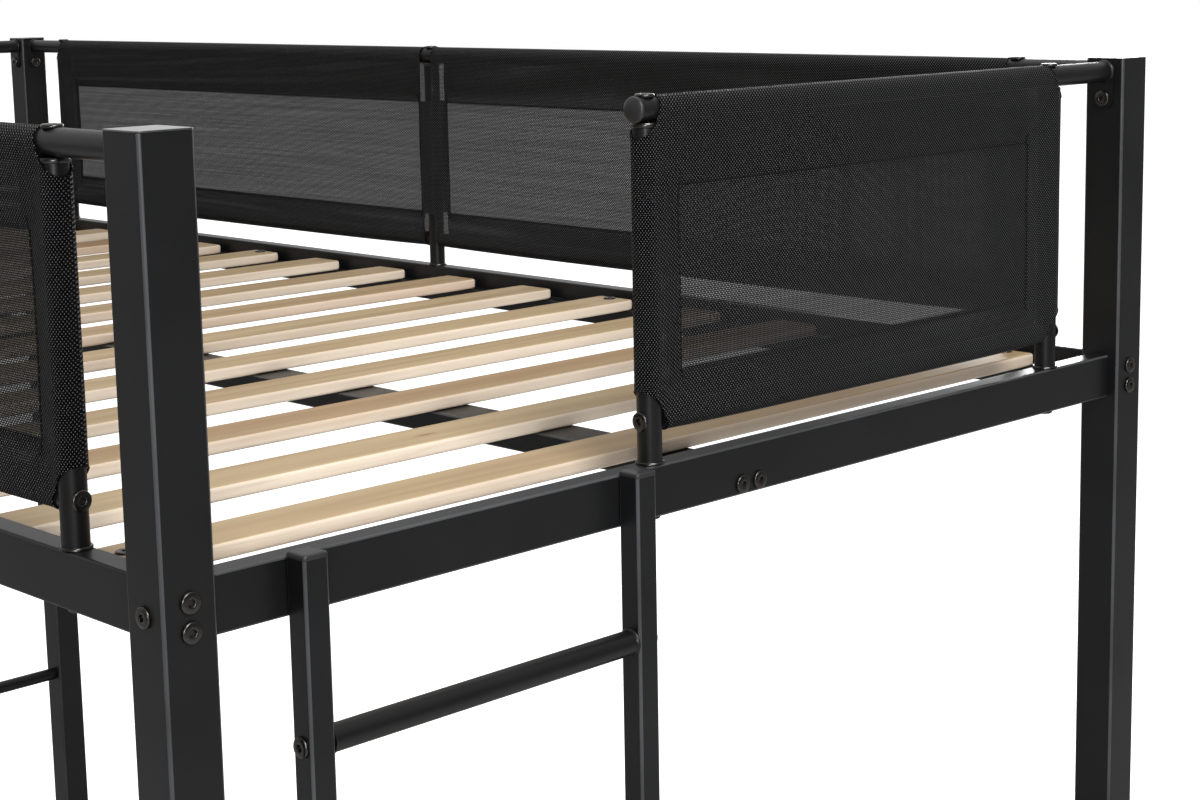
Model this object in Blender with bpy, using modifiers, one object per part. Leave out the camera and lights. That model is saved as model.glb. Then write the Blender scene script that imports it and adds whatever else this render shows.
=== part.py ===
"""Bunk bed with an end ladder: square steel posts, bolted rails, slatted decks and fabric guard panels.

Metres, +Z up. +Y runs along the bed, away from the ladder, and +X to the right as seen from the ladder end.
The origin is on the floor, below the middle of the whole bed.
"""

import math

import bpy
from mathutils import Matrix, Vector

# Overall sizes, outside the posts
WIDTH = 1.090
LENGTH = 2.020
HEIGHT = 1.650

# Posts, and the plastic caps that close them
POST = 0.040
POST_WALL = 0.0015
POST_CORNER = 0.003
POST_FLOOR_PLATE = 0.003
CAP_HIGH = 0.004
CAP_PLUG_DEEP = 0.014
CAP_CLEARANCE = 0.0004

# Rails between the posts, flat tubes set in the middle of each post's face
RAIL_THICK = 0.020
RAIL_HIGH = 0.040
RAIL_WALL = 0.0012
RAIL_CORNER = 0.002
UPPER_RAIL_TOP = 1.372
LOWER_RAIL_TOP = 0.346

# The ledge welded inside each long rail carries the slat ends
LEDGE_WIDE = 0.018
LEDGE_HIGH = 0.020

# Slats, and the flat beam under their middles
SLATS = 14
SLAT_WIDE = 0.054
SLAT_THICK = 0.012
SLAT_ROUND = 0.003
SLAT_INSET = 0.093
SLAT_END_CLEARANCE = 0.0075
BEAM_WIDE = 0.044
BEAM_HIGH = 0.020
STRAP_WIDE = 0.025
STRAP_THICK = 0.002
STRAP_INSET = 0.140

# Guards: round tubes round a stretched fabric panel
GUARD_TUBE = 0.019
GUARD_WALL = 0.001
GUARD_LOWER_TUBE = 0.016
GUARD_TOP_DROP = 0.013
GUARD_LOWER_RISE = 0.033
GUARD_END_INSET = 0.130
FRONT_GUARD_START = 0.443
FRONT_GUARD_OVERHANG = 0.021
FABRIC_THICK = 0.004
FABRIC_CLEARANCE = 0.0006
BED_END_TUBE_RISE = 0.266

# Ladder on the outside of the near end rail
LADDER_TUBE = 0.020
LADDER_CORNER = 0.0025
LADDER_START = 0.099
LADDER_WIDE = 0.320
RUNGS = 5
RUNG_TUBE = 0.019
TOP_RUNG_DROP = 0.125
RUNG_PITCH = 0.253

# Space left between pieces that touch
GAP = 0.0003
ROUND_SIDES = 24
CORNER_STEPS = 3

# Worked out from the sizes above
HALF_WIDTH = WIDTH / 2
END_PROTRUSION = LADDER_TUBE + GAP - (POST - RAIL_THICK) / 2
NEAR_Y = -(LENGTH + END_PROTRUSION) / 2 + END_PROTRUSION
FAR_Y = NEAR_Y + LENGTH
RAIL_OUTER = (POST - RAIL_THICK) / 2
RAIL_INNER = RAIL_OUTER + RAIL_THICK
TOP_TUBE_Z = HEIGHT - GUARD_TOP_DROP
UPRIGHT_TOP = TOP_TUBE_Z - GUARD_TUBE / 2 - GAP

STEEL_BLACK = ("satin_black_steel", (0.020, 0.020, 0.021, 1.0), 0.42, 0.3)
PLASTIC_BLACK = ("black_plastic", (0.014, 0.014, 0.015, 1.0), 0.5, 0.0)
SLAT_WOOD = ("pale_wood", (0.62, 0.47, 0.29, 1.0), 0.6, 0.0)
MESH_BLACK = ("black_mesh_fabric", (0.012, 0.012, 0.013, 1.0), 0.8, 0.0)

ALONG = {
    "x": Matrix(((0, 0, 1), (1, 0, 0), (0, 1, 0))).to_4x4(),
    "y": Matrix(((-1, 0, 0), (0, 0, 1), (0, 1, 0))).to_4x4(),
    "z": Matrix.Identity(4),
}


def material_for(finish):
    """The material of this finish, made the first time it is asked for."""
    name, colour, roughness, metallic = finish
    found = bpy.data.materials.get(name)
    if found:
        return found
    made = bpy.data.materials.new(name)
    made.use_nodes = True
    shader = made.node_tree.nodes["Principled BSDF"]
    shader.inputs["Base Color"].default_value = colour
    shader.inputs["Roughness"].default_value = roughness
    shader.inputs["Metallic"].default_value = metallic
    made.diffuse_color = colour
    return made


def add_to(collection, obj, finish):
    obj.data.materials.append(material_for(finish))
    collection.objects.link(obj)
    return obj


def circle(diameter):
    """Points of a circle, whose flats stay inside the true round."""
    turn = 2 * math.pi / ROUND_SIDES
    return [Vector((math.cos(i * turn), math.sin(i * turn))) * diameter / 2 for i in range(ROUND_SIDES)]


def rounded_rectangle(wide, high, radius):
    """Points of a rectangle about the origin, with each corner an arc."""
    points = []
    for quarter, (side_x, side_y) in enumerate(((1, 1), (-1, 1), (-1, -1), (1, -1))):
        centre = Vector((side_x * (wide / 2 - radius), side_y * (high / 2 - radius)))
        for step in range(CORNER_STEPS + 1):
            angle = (quarter + step / CORNER_STEPS) * math.pi / 2
            points.append(centre + radius * Vector((math.cos(angle), math.sin(angle))))
    return points


def extruded(name, outlines, length, direction, centre, finish, collection):
    """A straight bar: the first outline is its outside and the others are its hollows."""
    curve = bpy.data.curves.new(name, "CURVE")
    curve.dimensions = "2D"
    curve.fill_mode = "BOTH"
    curve.extrude = length / 2
    for outline in outlines:
        spline = curve.splines.new("POLY")
        spline.points.add(len(outline) - 1)
        for point, place in zip(spline.points, outline):
            point.co = (place.x, place.y, 0, 1)
        spline.use_cyclic_u = True
    bar = bpy.data.objects.new(name, curve)
    bar.matrix_world = Matrix.Translation(centre) @ ALONG[direction]
    return add_to(collection, bar, finish)


def square_tube(name, wide, high, wall, corner, length, direction, centre, collection):
    outlines = [
        rounded_rectangle(wide, high, corner),
        rounded_rectangle(wide - 2 * wall, high - 2 * wall, max(corner - wall, corner / 3)),
    ]
    return extruded(name, outlines, length, direction, centre, STEEL_BLACK, collection)


def round_tube(name, diameter, wall, length, direction, centre, collection):
    outlines = [circle(diameter), circle(diameter - 2 * wall)]
    return extruded(name, outlines, length, direction, centre, STEEL_BLACK, collection)


def block(name, size, centre, finish, collection):
    """A box as a mesh cube, with its size applied."""
    bpy.ops.mesh.primitive_cube_add(size=1, location=centre)
    made = bpy.context.object
    made.name = name
    made.data.name = name
    made.data.transform(Matrix.Diagonal((*size, 1)))
    bpy.context.collection.objects.unlink(made)
    return add_to(collection, made, finish)


def rod(name, diameter, length, direction, centre, finish, collection):
    """A solid round bar as a mesh cylinder."""
    bpy.ops.mesh.primitive_cylinder_add(vertices=ROUND_SIDES, radius=diameter / 2, depth=length)
    made = bpy.context.object
    made.name = name
    made.matrix_world = Matrix.Translation(centre) @ ALONG[direction]
    bpy.context.collection.objects.unlink(made)
    return add_to(collection, made, finish)


def boolean(obj, operation, pieces, name):
    """Joins or cuts obj with every object of a collection of helpers."""
    modifier = obj.modifiers.new(name, "BOOLEAN")
    modifier.operation = operation
    modifier.operand_type = "COLLECTION"
    modifier.collection = pieces
    modifier.solver = "EXACT"


def helper_collection(name, parent):
    made = bpy.data.collections.new(name)
    parent.children.link(made)
    return made


def hide_helpers(collection):
    for helper in collection.all_objects:
        helper.hide_render = True
        helper.display_type = "WIRE"


def side_x(side, inset):
    """The X of a place this far in from the outside of the left (-1) or right (+1) posts."""
    return side * (HALF_WIDTH - inset)


def end_y(end, inset):
    """The Y of a place this far in from the outside of the near (-1) or far (+1) posts."""
    return FAR_Y - inset if end > 0 else NEAR_Y + inset


def make_post(name, side, end, bed, cutters):
    """A square tube, closed by a plate at the floor and open under its cap."""
    x = side_x(side, POST / 2)
    y = end_y(end, POST / 2)
    tube_top = HEIGHT - CAP_HIGH - GAP
    post = block(name, (POST, POST, tube_top), (x, y, tube_top / 2), STEEL_BLACK, bed)
    edges = post.modifiers.new("round_edges", "BEVEL")
    edges.width = POST_CORNER
    edges.segments = CORNER_STEPS
    edges.limit_method = "WEIGHT"
    weights = post.data.attributes.new("bevel_weight_edge", "FLOAT", "EDGE")
    for edge in post.data.edges:
        start, finish = (post.data.vertices[i].co for i in edge.vertices)
        weights.data[edge.index].value = float(abs(start.z - finish.z) > POST)
    hollow = POST - 2 * POST_WALL
    bore = block(name + "_bore", (hollow, hollow, tube_top), (x, y, tube_top / 2 + POST_FLOOR_PLATE),
                 STEEL_BLACK, cutters)
    cut = post.modifiers.new("hollow", "BOOLEAN")
    cut.operation = "DIFFERENCE"
    cut.object = bore
    cut.solver = "EXACT"


def make_cap(name, side, end, bed, cutters):
    """A flat plastic plate on the post, with a plug that sits inside the tube."""
    x = side_x(side, POST / 2)
    y = end_y(end, POST / 2)
    cap = extruded(name, [rounded_rectangle(POST, POST, POST_CORNER)], CAP_HIGH, "z",
                   (x, y, HEIGHT - CAP_HIGH / 2), PLASTIC_BLACK, bed)
    cap = mesh_from(cap, bed)
    plug_side = POST - 2 * POST_WALL - 2 * CAP_CLEARANCE
    plug_top = HEIGHT - CAP_HIGH / 2
    plug_bottom = HEIGHT - CAP_HIGH - CAP_PLUG_DEEP
    plug = block(name + "_plug", (plug_side, plug_side, plug_top - plug_bottom),
                 (x, y, (plug_top + plug_bottom) / 2), PLASTIC_BLACK, cutters)
    join = cap.modifiers.new("plug", "BOOLEAN")
    join.operation = "UNION"
    join.object = plug
    join.solver = "EXACT"


def mesh_from(obj, collection):
    """The curve object's own mesh, with its caps welded, in its place."""
    name = obj.name
    graph = bpy.context.evaluated_depsgraph_get()
    mesh = bpy.data.meshes.new_from_object(obj.evaluated_get(graph))
    made = bpy.data.objects.new(name, mesh)
    made.matrix_world = obj.matrix_world.copy()
    bpy.data.objects.remove(obj)
    made.name = name
    collection.objects.link(made)
    weld = made.modifiers.new("weld", "WELD")
    weld.merge_threshold = 0.00001
    return made


def make_long_rail(name, side, top, bed):
    """A flat tube between two posts with the slat ledge, a smaller tube, welded inside its lower half."""
    length = LENGTH - 2 * POST - 2 * GAP
    # Local x runs opposite to world X, so the inner side of the left rail is at local -x.
    inward = side
    half_t, half_h = RAIL_THICK / 2, RAIL_HIGH / 2
    ledge_x = half_t + LEDGE_WIDE
    ledge_top = -half_h + LEDGE_HIGH
    outside = [(-half_t, -half_h), (ledge_x, -half_h), (ledge_x, ledge_top), (half_t, ledge_top),
               (half_t, half_h), (-half_t, half_h)]
    rail_hollow = [(-half_t + RAIL_WALL, -half_h + RAIL_WALL), (half_t - RAIL_WALL, -half_h + RAIL_WALL),
                   (half_t - RAIL_WALL, half_h - RAIL_WALL), (-half_t + RAIL_WALL, half_h - RAIL_WALL)]
    ledge_hollow = [(half_t + RAIL_WALL, -half_h + RAIL_WALL), (ledge_x - RAIL_WALL, -half_h + RAIL_WALL),
                    (ledge_x - RAIL_WALL, ledge_top - RAIL_WALL), (half_t + RAIL_WALL, ledge_top - RAIL_WALL)]
    outlines = [[Vector((inward * x, y)) for x, y in points]
                for points in (outside, rail_hollow, ledge_hollow)]
    centre = (side_x(side, RAIL_OUTER + half_t), (NEAR_Y + FAR_Y) / 2, top - half_h)
    extruded(name, outlines, length, "y", centre, STEEL_BLACK, bed)


def make_end_rail(name, end, top, bed):
    length = WIDTH - 2 * POST - 2 * GAP
    centre = (0, end_y(end, RAIL_OUTER + RAIL_THICK / 2), top - RAIL_HIGH / 2)
    square_tube(name, RAIL_THICK, RAIL_HIGH, RAIL_WALL, RAIL_CORNER, length, "x", centre, bed)


def deck_top(rail_top):
    """The top of the slats that lie on the ledges of these rails."""
    return rail_top - RAIL_HIGH + LEDGE_HIGH + GAP + SLAT_THICK


def make_beam(name, rail_top, bed):
    """The flat tube along the middle of the bed, bolted between the end rails just under the slats."""
    length = LENGTH - 2 * RAIL_INNER - 2 * GAP
    beam_top = deck_top(rail_top) - SLAT_THICK - GAP
    centre = (0, (NEAR_Y + FAR_Y) / 2, beam_top - BEAM_HIGH / 2)
    square_tube(name, BEAM_WIDE, BEAM_HIGH, RAIL_WALL, RAIL_CORNER, length, "y", centre, bed)


def slat_places():
    """The Y of each slat's middle, evenly spaced between the two insets."""
    first = NEAR_Y + SLAT_INSET + SLAT_WIDE / 2
    last = FAR_Y - SLAT_INSET - SLAT_WIDE / 2
    return [first + (last - first) * i / (SLATS - 1) for i in range(SLATS)]


def slat_size():
    return (WIDTH - 2 * RAIL_INNER - 2 * SLAT_END_CLEARANCE, SLAT_WIDE, SLAT_THICK)


def round_slat(slat):
    """Rounds the long edges and the ends of a slat, within its thickness."""
    edges = slat.modifiers.new("round_edges", "BEVEL")
    edges.width = min(SLAT_ROUND, 0.45 * SLAT_THICK)
    edges.segments = 2


def make_upper_slats(bed):
    z = deck_top(UPPER_RAIL_TOP) - SLAT_THICK / 2
    for number, y in enumerate(slat_places(), start=1):
        round_slat(block(f"upper_slat_{number:02d}", slat_size(), (0, y, z), SLAT_WOOD, bed))


def make_lower_deck(bed, joined):
    """The lower slats, held as one roll by two straps stapled under them."""
    z = deck_top(LOWER_RAIL_TOP) - SLAT_THICK / 2
    places = slat_places()
    strap_length = places[-1] - places[0]
    strap_z = z - SLAT_THICK / 2
    slats = helper_collection("lower_slats", joined)
    for number, y in enumerate(places[1:], start=2):
        block(f"lower_slat_{number:02d}", slat_size(), (0, y, z), SLAT_WOOD, slats)
    for side, name in ((-1, "left"), (1, "right")):
        block(f"lower_strap_{name}", (STRAP_WIDE, strap_length, 2 * STRAP_THICK),
              (side_x(side, STRAP_INSET), (places[0] + places[-1]) / 2, strap_z), SLAT_WOOD, slats)
    deck = block("lower_slat_deck", slat_size(), (0, places[0], z), SLAT_WOOD, bed)
    boolean(deck, "UNION", slats, "join_slats")


def guard_lower_z():
    return UPPER_RAIL_TOP + GUARD_LOWER_RISE


def make_guard_fabric(name, low, high, across, direction, bed):
    """A plain panel that fills the frame between two uprights, from the lower tube to the top tube.

    low and high are the uprights' axes along the guard, and across is where the guard stands the other way.
    """
    reach = GUARD_TUBE / 2 + FABRIC_CLEARANCE
    length = high - low - 2 * reach
    bottom = guard_lower_z() + GUARD_LOWER_TUBE / 2 + FABRIC_CLEARANCE
    top = TOP_TUBE_Z - reach
    middle = (low + high) / 2
    size = (length, FABRIC_THICK, top - bottom)
    centre = (middle, across, (top + bottom) / 2)
    if direction == "y":
        size = (size[1], size[0], size[2])
        centre = (across, middle, centre[2])
    block(name, size, centre, MESH_BLACK, bed)


def make_upright(name, x, y, bed):
    low = UPPER_RAIL_TOP + GAP
    round_tube(name, GUARD_TUBE, GUARD_WALL, UPRIGHT_TOP - low, "z", (x, y, (low + UPRIGHT_TOP) / 2), bed)


def make_end_guard(name, end, first, last, top_start, bed):
    """A guard across an end: a top tube to the posts, two uprights, a lower tube and one fabric panel."""
    y = end_y(end, POST / 2)
    top_end = HALF_WIDTH - POST - GAP
    round_tube(f"{name}_top_tube", GUARD_TUBE, GUARD_WALL, top_end - top_start, "x",
               ((top_start + top_end) / 2, y, TOP_TUBE_Z), bed)
    make_upright(f"{name}_upright_left", first, y, bed)
    make_upright(f"{name}_upright_right", last, y, bed)
    lower_length = last - first - GUARD_TUBE - 2 * GAP
    round_tube(f"{name}_lower_tube", GUARD_LOWER_TUBE, GUARD_WALL, lower_length, "x",
               ((first + last) / 2, y, guard_lower_z()), bed)
    make_guard_fabric(f"{name}_fabric", first, last, y, "x", bed)


def make_long_guard(name, side, bed, joined, cutters):
    """A guard along a side: a top tube, a frame of three uprights and two lower tubes, and two panels."""
    x = side_x(side, POST / 2)
    middle = (NEAR_Y + FAR_Y) / 2
    near, far = end_y(-1, GUARD_END_INSET), end_y(1, GUARD_END_INSET)
    top_length = LENGTH - 2 * POST - 2 * GAP
    round_tube(f"{name}_top_tube", GUARD_TUBE, GUARD_WALL, top_length, "y", (x, middle, TOP_TUBE_Z), bed)
    low = UPPER_RAIL_TOP + GAP
    height = UPRIGHT_TOP - low
    upright_z = (low + UPRIGHT_TOP) / 2
    bore = GUARD_TUBE - 2 * GUARD_WALL
    outer = helper_collection(f"{name}_tubes", joined)
    hollows = helper_collection(f"{name}_hollows", cutters)
    frame = rod(f"{name}_frame", GUARD_LOWER_TUBE, far - near, "y",
                (x, middle, guard_lower_z()), STEEL_BLACK, bed)
    rod(f"{name}_lower_bore", GUARD_LOWER_TUBE - 2 * GUARD_WALL, far - near, "y",
        (x, middle, guard_lower_z()), STEEL_BLACK, hollows)
    for place, y in (("near", near), ("middle", middle), ("far", far)):
        rod(f"{name}_upright_{place}", GUARD_TUBE, height, "z", (x, y, upright_z), STEEL_BLACK, outer)
        rod(f"{name}_bore_{place}", bore, height + 2 * GUARD_TUBE, "z", (x, y, upright_z), STEEL_BLACK, hollows)
    boolean(frame, "UNION", outer, "uprights")
    boolean(frame, "DIFFERENCE", hollows, "hollow")
    make_guard_fabric(f"{name}_fabric_near", near, middle, x, "y", bed)
    make_guard_fabric(f"{name}_fabric_far", middle, far, x, "y", bed)


def make_bed_end_tube(name, end, bed):
    """The single round tube across each end of the lower bed, never further out than the end rail."""
    inset = max(POST / 2, RAIL_OUTER + GUARD_TUBE / 2)
    centre = (0, end_y(end, inset), LOWER_RAIL_TOP + BED_END_TUBE_RISE)
    round_tube(name, GUARD_TUBE, GUARD_WALL, WIDTH - 2 * POST - 2 * GAP, "x", centre, bed)


def make_ladder(bed):
    """Two square tubes from the floor to the rail's top, on the rail's outer face, with round rungs between."""
    y = end_y(-1, RAIL_OUTER) - GAP - LADDER_TUBE / 2
    left = -HALF_WIDTH + LADDER_START + LADDER_TUBE / 2
    right = left + LADDER_WIDE - LADDER_TUBE
    for name, x in (("left", left), ("right", right)):
        square_tube(f"ladder_upright_{name}", LADDER_TUBE, LADDER_TUBE, RAIL_WALL, LADDER_CORNER, UPPER_RAIL_TOP,
                    "z", (x, y, UPPER_RAIL_TOP / 2), bed)
    length = right - left - LADDER_TUBE - 2 * GAP
    for number in range(RUNGS):
        z = UPPER_RAIL_TOP - TOP_RUNG_DROP - number * RUNG_PITCH
        round_tube(f"ladder_rung_{number + 1}", RUNG_TUBE, GUARD_WALL, length, "x", ((left + right) / 2, y, z), bed)


def main():
    for obj in list(bpy.data.objects):
        bpy.data.objects.remove(obj)
    scene = bpy.context.scene.collection
    bed = helper_collection("bunk_bed", scene)
    cutters = helper_collection("cutters", scene)
    joined = helper_collection("joined_shapes", scene)

    corners = (("front_left", -1, -1), ("front_right", 1, -1), ("rear_left", -1, 1), ("rear_right", 1, 1))
    for name, side, end in corners:
        make_post(f"post_{name}", side, end, bed, cutters)
        make_cap(f"post_cap_{name}", side, end, bed, joined)
    for level, top in (("upper", UPPER_RAIL_TOP), ("lower", LOWER_RAIL_TOP)):
        make_long_rail(f"{level}_rail_left", -1, top, bed)
        make_long_rail(f"{level}_rail_right", 1, top, bed)
        make_end_rail(f"{level}_end_rail_front", -1, top, bed)
        make_end_rail(f"{level}_end_rail_rear", 1, top, bed)
        make_beam(f"{level}_centre_beam", top, bed)
    make_upper_slats(bed)
    make_lower_deck(bed, joined)

    near_post_face = -HALF_WIDTH + POST + GAP
    right_upright = side_x(1, GUARD_END_INSET)
    ladder_side_upright = -HALF_WIDTH + FRONT_GUARD_START
    make_end_guard("front_guard", -1, ladder_side_upright, right_upright,
                   ladder_side_upright - FRONT_GUARD_OVERHANG, bed)
    make_end_guard("rear_guard", 1, side_x(-1, GUARD_END_INSET), right_upright, near_post_face, bed)
    make_long_guard("left_guard", -1, bed, joined, cutters)
    make_long_guard("right_guard", 1, bed, joined, cutters)
    make_bed_end_tube("lower_end_tube_front", -1, bed)
    make_bed_end_tube("lower_end_tube_rear", 1, bed)
    make_ladder(bed)
    hide_helpers(cutters)
    hide_helpers(joined)


main()
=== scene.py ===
"""The looks of a bunk bed with an end ladder: painted tubes, bolts, slats and stretched mesh guard panels.

Metres, +Z up, +Y along the bed away from the ladder, +X to the right as seen from the ladder end.
"""

import math
from itertools import product

import bmesh
import bpy
from mathutils import Matrix, Vector, noise


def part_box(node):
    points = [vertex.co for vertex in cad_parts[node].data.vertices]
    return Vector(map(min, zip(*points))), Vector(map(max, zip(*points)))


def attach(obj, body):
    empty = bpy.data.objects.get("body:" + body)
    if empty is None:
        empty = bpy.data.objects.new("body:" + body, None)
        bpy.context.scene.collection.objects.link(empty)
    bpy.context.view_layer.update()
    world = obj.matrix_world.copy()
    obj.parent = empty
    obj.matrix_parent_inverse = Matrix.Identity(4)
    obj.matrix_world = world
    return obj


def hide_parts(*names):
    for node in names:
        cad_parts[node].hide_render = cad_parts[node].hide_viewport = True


bl_info = {
    "name": "Bunk bed with ladder",
    "version": (1, 0, 0),
    "blender": (4, 5, 0),
    "location": "3D View > Sidebar > Bunk Bed",
    "description": "Dresses the frame of a bunk bed with its tubes, fittings, slats and guard panels",
    "category": "Object",
}

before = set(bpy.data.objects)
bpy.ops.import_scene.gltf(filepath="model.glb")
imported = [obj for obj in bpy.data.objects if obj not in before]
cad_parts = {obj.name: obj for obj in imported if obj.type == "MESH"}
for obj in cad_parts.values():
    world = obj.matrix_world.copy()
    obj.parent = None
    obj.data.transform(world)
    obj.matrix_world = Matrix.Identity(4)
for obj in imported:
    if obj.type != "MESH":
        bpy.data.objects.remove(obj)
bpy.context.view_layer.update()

X, Y, Z = Vector((1, 0, 0)), Vector((0, 1, 0)), Vector((0, 0, 1))
AXES = (X, Y, Z)
CORNERS = ("front_left", "front_right", "rear_left", "rear_right")
LEVELS = ("upper", "lower")
SIDES = ("left", "right")
ENDS = ("front", "rear")
GUARD_PARTS = ("top_tube", "upright_left", "upright_right", "lower_tube")
SLAT_COUNT = sum(name.startswith("upper_slat_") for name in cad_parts)
RUNG_COUNT = sum(name.startswith("ladder_rung_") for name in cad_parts)
SCREWED_SLATS = (1, 5, 10, SLAT_COUNT)

# steps round a tube and round each corner of a square one, and the radii of the corners
ROUND_STEPS, CORNER_STEPS = 40, 6
POST_CORNER, RAIL_CORNER, LEDGE_CORNER, LADDER_CORNER = 0.003, 0.0022, 0.0018, 0.0027
# the ledge inside each side rail, and the short welds along it
LEDGE_WIDE, LEDGE_HIGH = 0.018, 0.020
WELD_RADIUS, WELD_LONG, WELD_COUNT, WELD_INSET = 0.0012, 0.030, 9, 0.06
# how much the front guard's open end is shortened for its plug, and the thickness of a post's cap
TUBE_END_TRIM, CAP_PLATE = 0.011, 0.0014
# tabs under the ends of the top tubes: half width, top and foot from the tube's middle, corner, thickness
TAB_HALF, TAB_TOP, TAB_FOOT, TAB_CORNER, TAB_THICK = 0.0095, -0.006, -0.033, 0.004, 0.0022
TAB_BOLT_DROP = 0.0245
# bolts: drops below a rail's top, and half the distance between a beam's two
RAIL_BOLT_DROPS, SIDE_BOLT_DROP, BEAM_BOLT_HALF = (0.011, 0.030), 0.020, 0.010
# shoes under the posts and the ladder, and the play round each
POST_SHOE, LADDER_SHOE, SHOE_PLAY = 0.016, 0.014, 0.0024
# slats: corner in plan, tape place, width and thickness, and where a screw goes
SLAT_CORNER, TAPE_INSET, TAPE_WIDE, TAPE_THICK, SCREW_INSET = 0.006, 0.110, 0.025, 0.0012, 0.013
# a slat screw's height, and its socket as a share of its head
SCREW_HIGH, SCREW_SOCKET = 0.0022, 0.35
# panels: how far one reaches past its end uprights, the sag of its lower fold, and its rolled edges
SIDE_REACH, SAG, EDGE_ROLL = 0.0109, 0.0022, 0.0013
GRID_STEP = 0.012
# half the cloth's thickness, the height of its broad and fine ripples, and how far in they fade out
CLOTH_HALF, BROAD_RIPPLE, FINE_RIPPLE, RIPPLE_FADE = 0.0003, 0.0010, 0.0004, 0.03
# cuts at a panel's corners: how high and how wide at the top and the bottom, and the cloth one takes
TOP_CUT, BOTTOM_CUT, CORNER_LOSS = (0.0325, 0.020), (0.032, 0.025), (0.034, 0.028)
# sewing: radius of the thread, length of a tuck, seam's place outside the window, straight length, lift
THREAD, TACK, SEAM_OUT, SEAM_PIECE, SEAM_LIFT = 0.00065, 0.010, 0.0016, 0.0135, 0.0005


def middle(node):
    low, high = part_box(node)
    return (low + high) / 2


def size(node):
    low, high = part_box(node)
    return high - low


# ---------------------------------------------------------------- materials


def shade(colour, share):
    """The same colour, darker or lighter."""
    return [min(1.0, channel * share) for channel in colour]


class Nodes:
    """Short ways of adding and joining the nodes of a material or a world."""

    def __init__(self, owner, kind="BSDF_PRINCIPLED"):
        owner.use_nodes = True
        self.tree = owner.node_tree
        self.shader = next(n for n in self.tree.nodes if n.type == kind)

    def add(self, kind, **settings):
        node = self.tree.nodes.new(kind)
        for name, value in settings.items():
            setattr(node, name, value)
        return node

    def link(self, output, target):
        self.tree.links.new(output, target)

    def place(self, scale=(1, 1, 1)):
        """The piece's own coordinates in metres, scaled."""
        mapping = self.add("ShaderNodeMapping")
        mapping.inputs["Scale"].default_value = scale
        self.link(self.add("ShaderNodeTexCoord").outputs["Object"], mapping.inputs["Vector"])
        return mapping.outputs["Vector"]

    def noise(self, scale, detail=2.0, roughness=0.5, stretch=(1, 1, 1), distortion=0.0):
        node = self.add("ShaderNodeTexNoise")
        values = {"Scale": scale, "Detail": detail, "Roughness": roughness, "Distortion": distortion}
        for name, value in values.items():
            node.inputs[name].default_value = value
        self.link(self.place(stretch), node.inputs["Vector"])
        return node.outputs["Fac"]

    def spread(self, value, low, high, to_low=0.0, to_high=1.0):
        """Stretches a range of values to another, and stops at its ends."""
        node = self.add("ShaderNodeMapRange")
        for name, number in zip(("From Min", "From Max", "To Min", "To Max"), (low, high, to_low, to_high)):
            node.inputs[name].default_value = number
        self.link(value, node.inputs["Value"])
        return node.outputs["Result"]

    def maths(self, operation, first, second=None):
        node = self.add("ShaderNodeMath", operation=operation)
        for socket, value in zip(node.inputs, (first, second)):
            if isinstance(value, (int, float)):
                socket.default_value = value
            elif value is not None:
                self.link(value, socket)
        return node.outputs["Value"]

    def blend(self, factor, first, second):
        """A colour between two, each a colour or another node's output."""
        node = self.add("ShaderNodeMix", data_type="RGBA")
        self.link(factor, node.inputs["Factor"])
        for name, value in (("A", first), ("B", second)):
            socket = next(s for s in node.inputs if s.name == name and s.type == "RGBA")
            if isinstance(value, bpy.types.NodeSocket):
                self.link(value, socket)
            else:
                socket.default_value = (*value, 1.0)
        return next(s for s in node.outputs if s.type == "RGBA")

    def colour(self, output):
        self.link(output, self.shader.inputs["Base Color"])

    def mottle(self, colour, gain, scale, low=0.3):
        """Colours the surface in soft patches, up to this many times as light."""
        patches = self.spread(self.noise(scale, 3.0), low, 0.7)
        self.colour(self.blend(patches, colour, shade(colour, gain)))

    def bump(self, height, distance, strength, under=None):
        node = self.add("ShaderNodeBump")
        node.inputs["Distance"].default_value = distance
        node.inputs["Strength"].default_value = strength
        self.link(height, node.inputs["Height"])
        if under is not None:
            self.link(under, node.inputs["Normal"])
        self.link(node.outputs["Normal"], self.shader.inputs["Normal"])
        return node.outputs["Normal"]

    def set(self, **values):
        for name, value in values.items():
            self.shader.inputs[name.replace("_", " ")].default_value = value


def painted_steel(name, colour, roughness):
    """Satin powder coat: a fine orange-peel surface and faint unevenness in its black."""
    nodes = Nodes(bpy.data.materials.new(name))
    nodes.mottle(colour, 1.7, 9.0, 0.35)
    nodes.set(Roughness=roughness, Specular_IOR_Level=0.25, IOR=1.5)
    fine = nodes.bump(nodes.noise(900.0), 0.00004, 0.5)
    nodes.bump(nodes.noise(260.0), 0.0001, 0.35, fine)


def bolt_steel(name, colour):
    """Dark nickel plate with fine turning marks."""
    nodes = Nodes(bpy.data.materials.new(name))
    nodes.mottle(colour, 1.5, 700.0)
    nodes.set(Metallic=1.0, Roughness=0.30)
    nodes.bump(nodes.noise(1500.0), 0.00002, 0.4)


def moulded_plastic(name, colour, roughness, shine):
    """Black plastic with the fine grain of its mould."""
    nodes = Nodes(bpy.data.materials.new(name))
    nodes.mottle(colour, 1.6, 60.0)
    nodes.set(Roughness=roughness, Specular_IOR_Level=shine, IOR=1.5)
    nodes.bump(nodes.noise(1400.0), 0.00005, 0.4)


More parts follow.
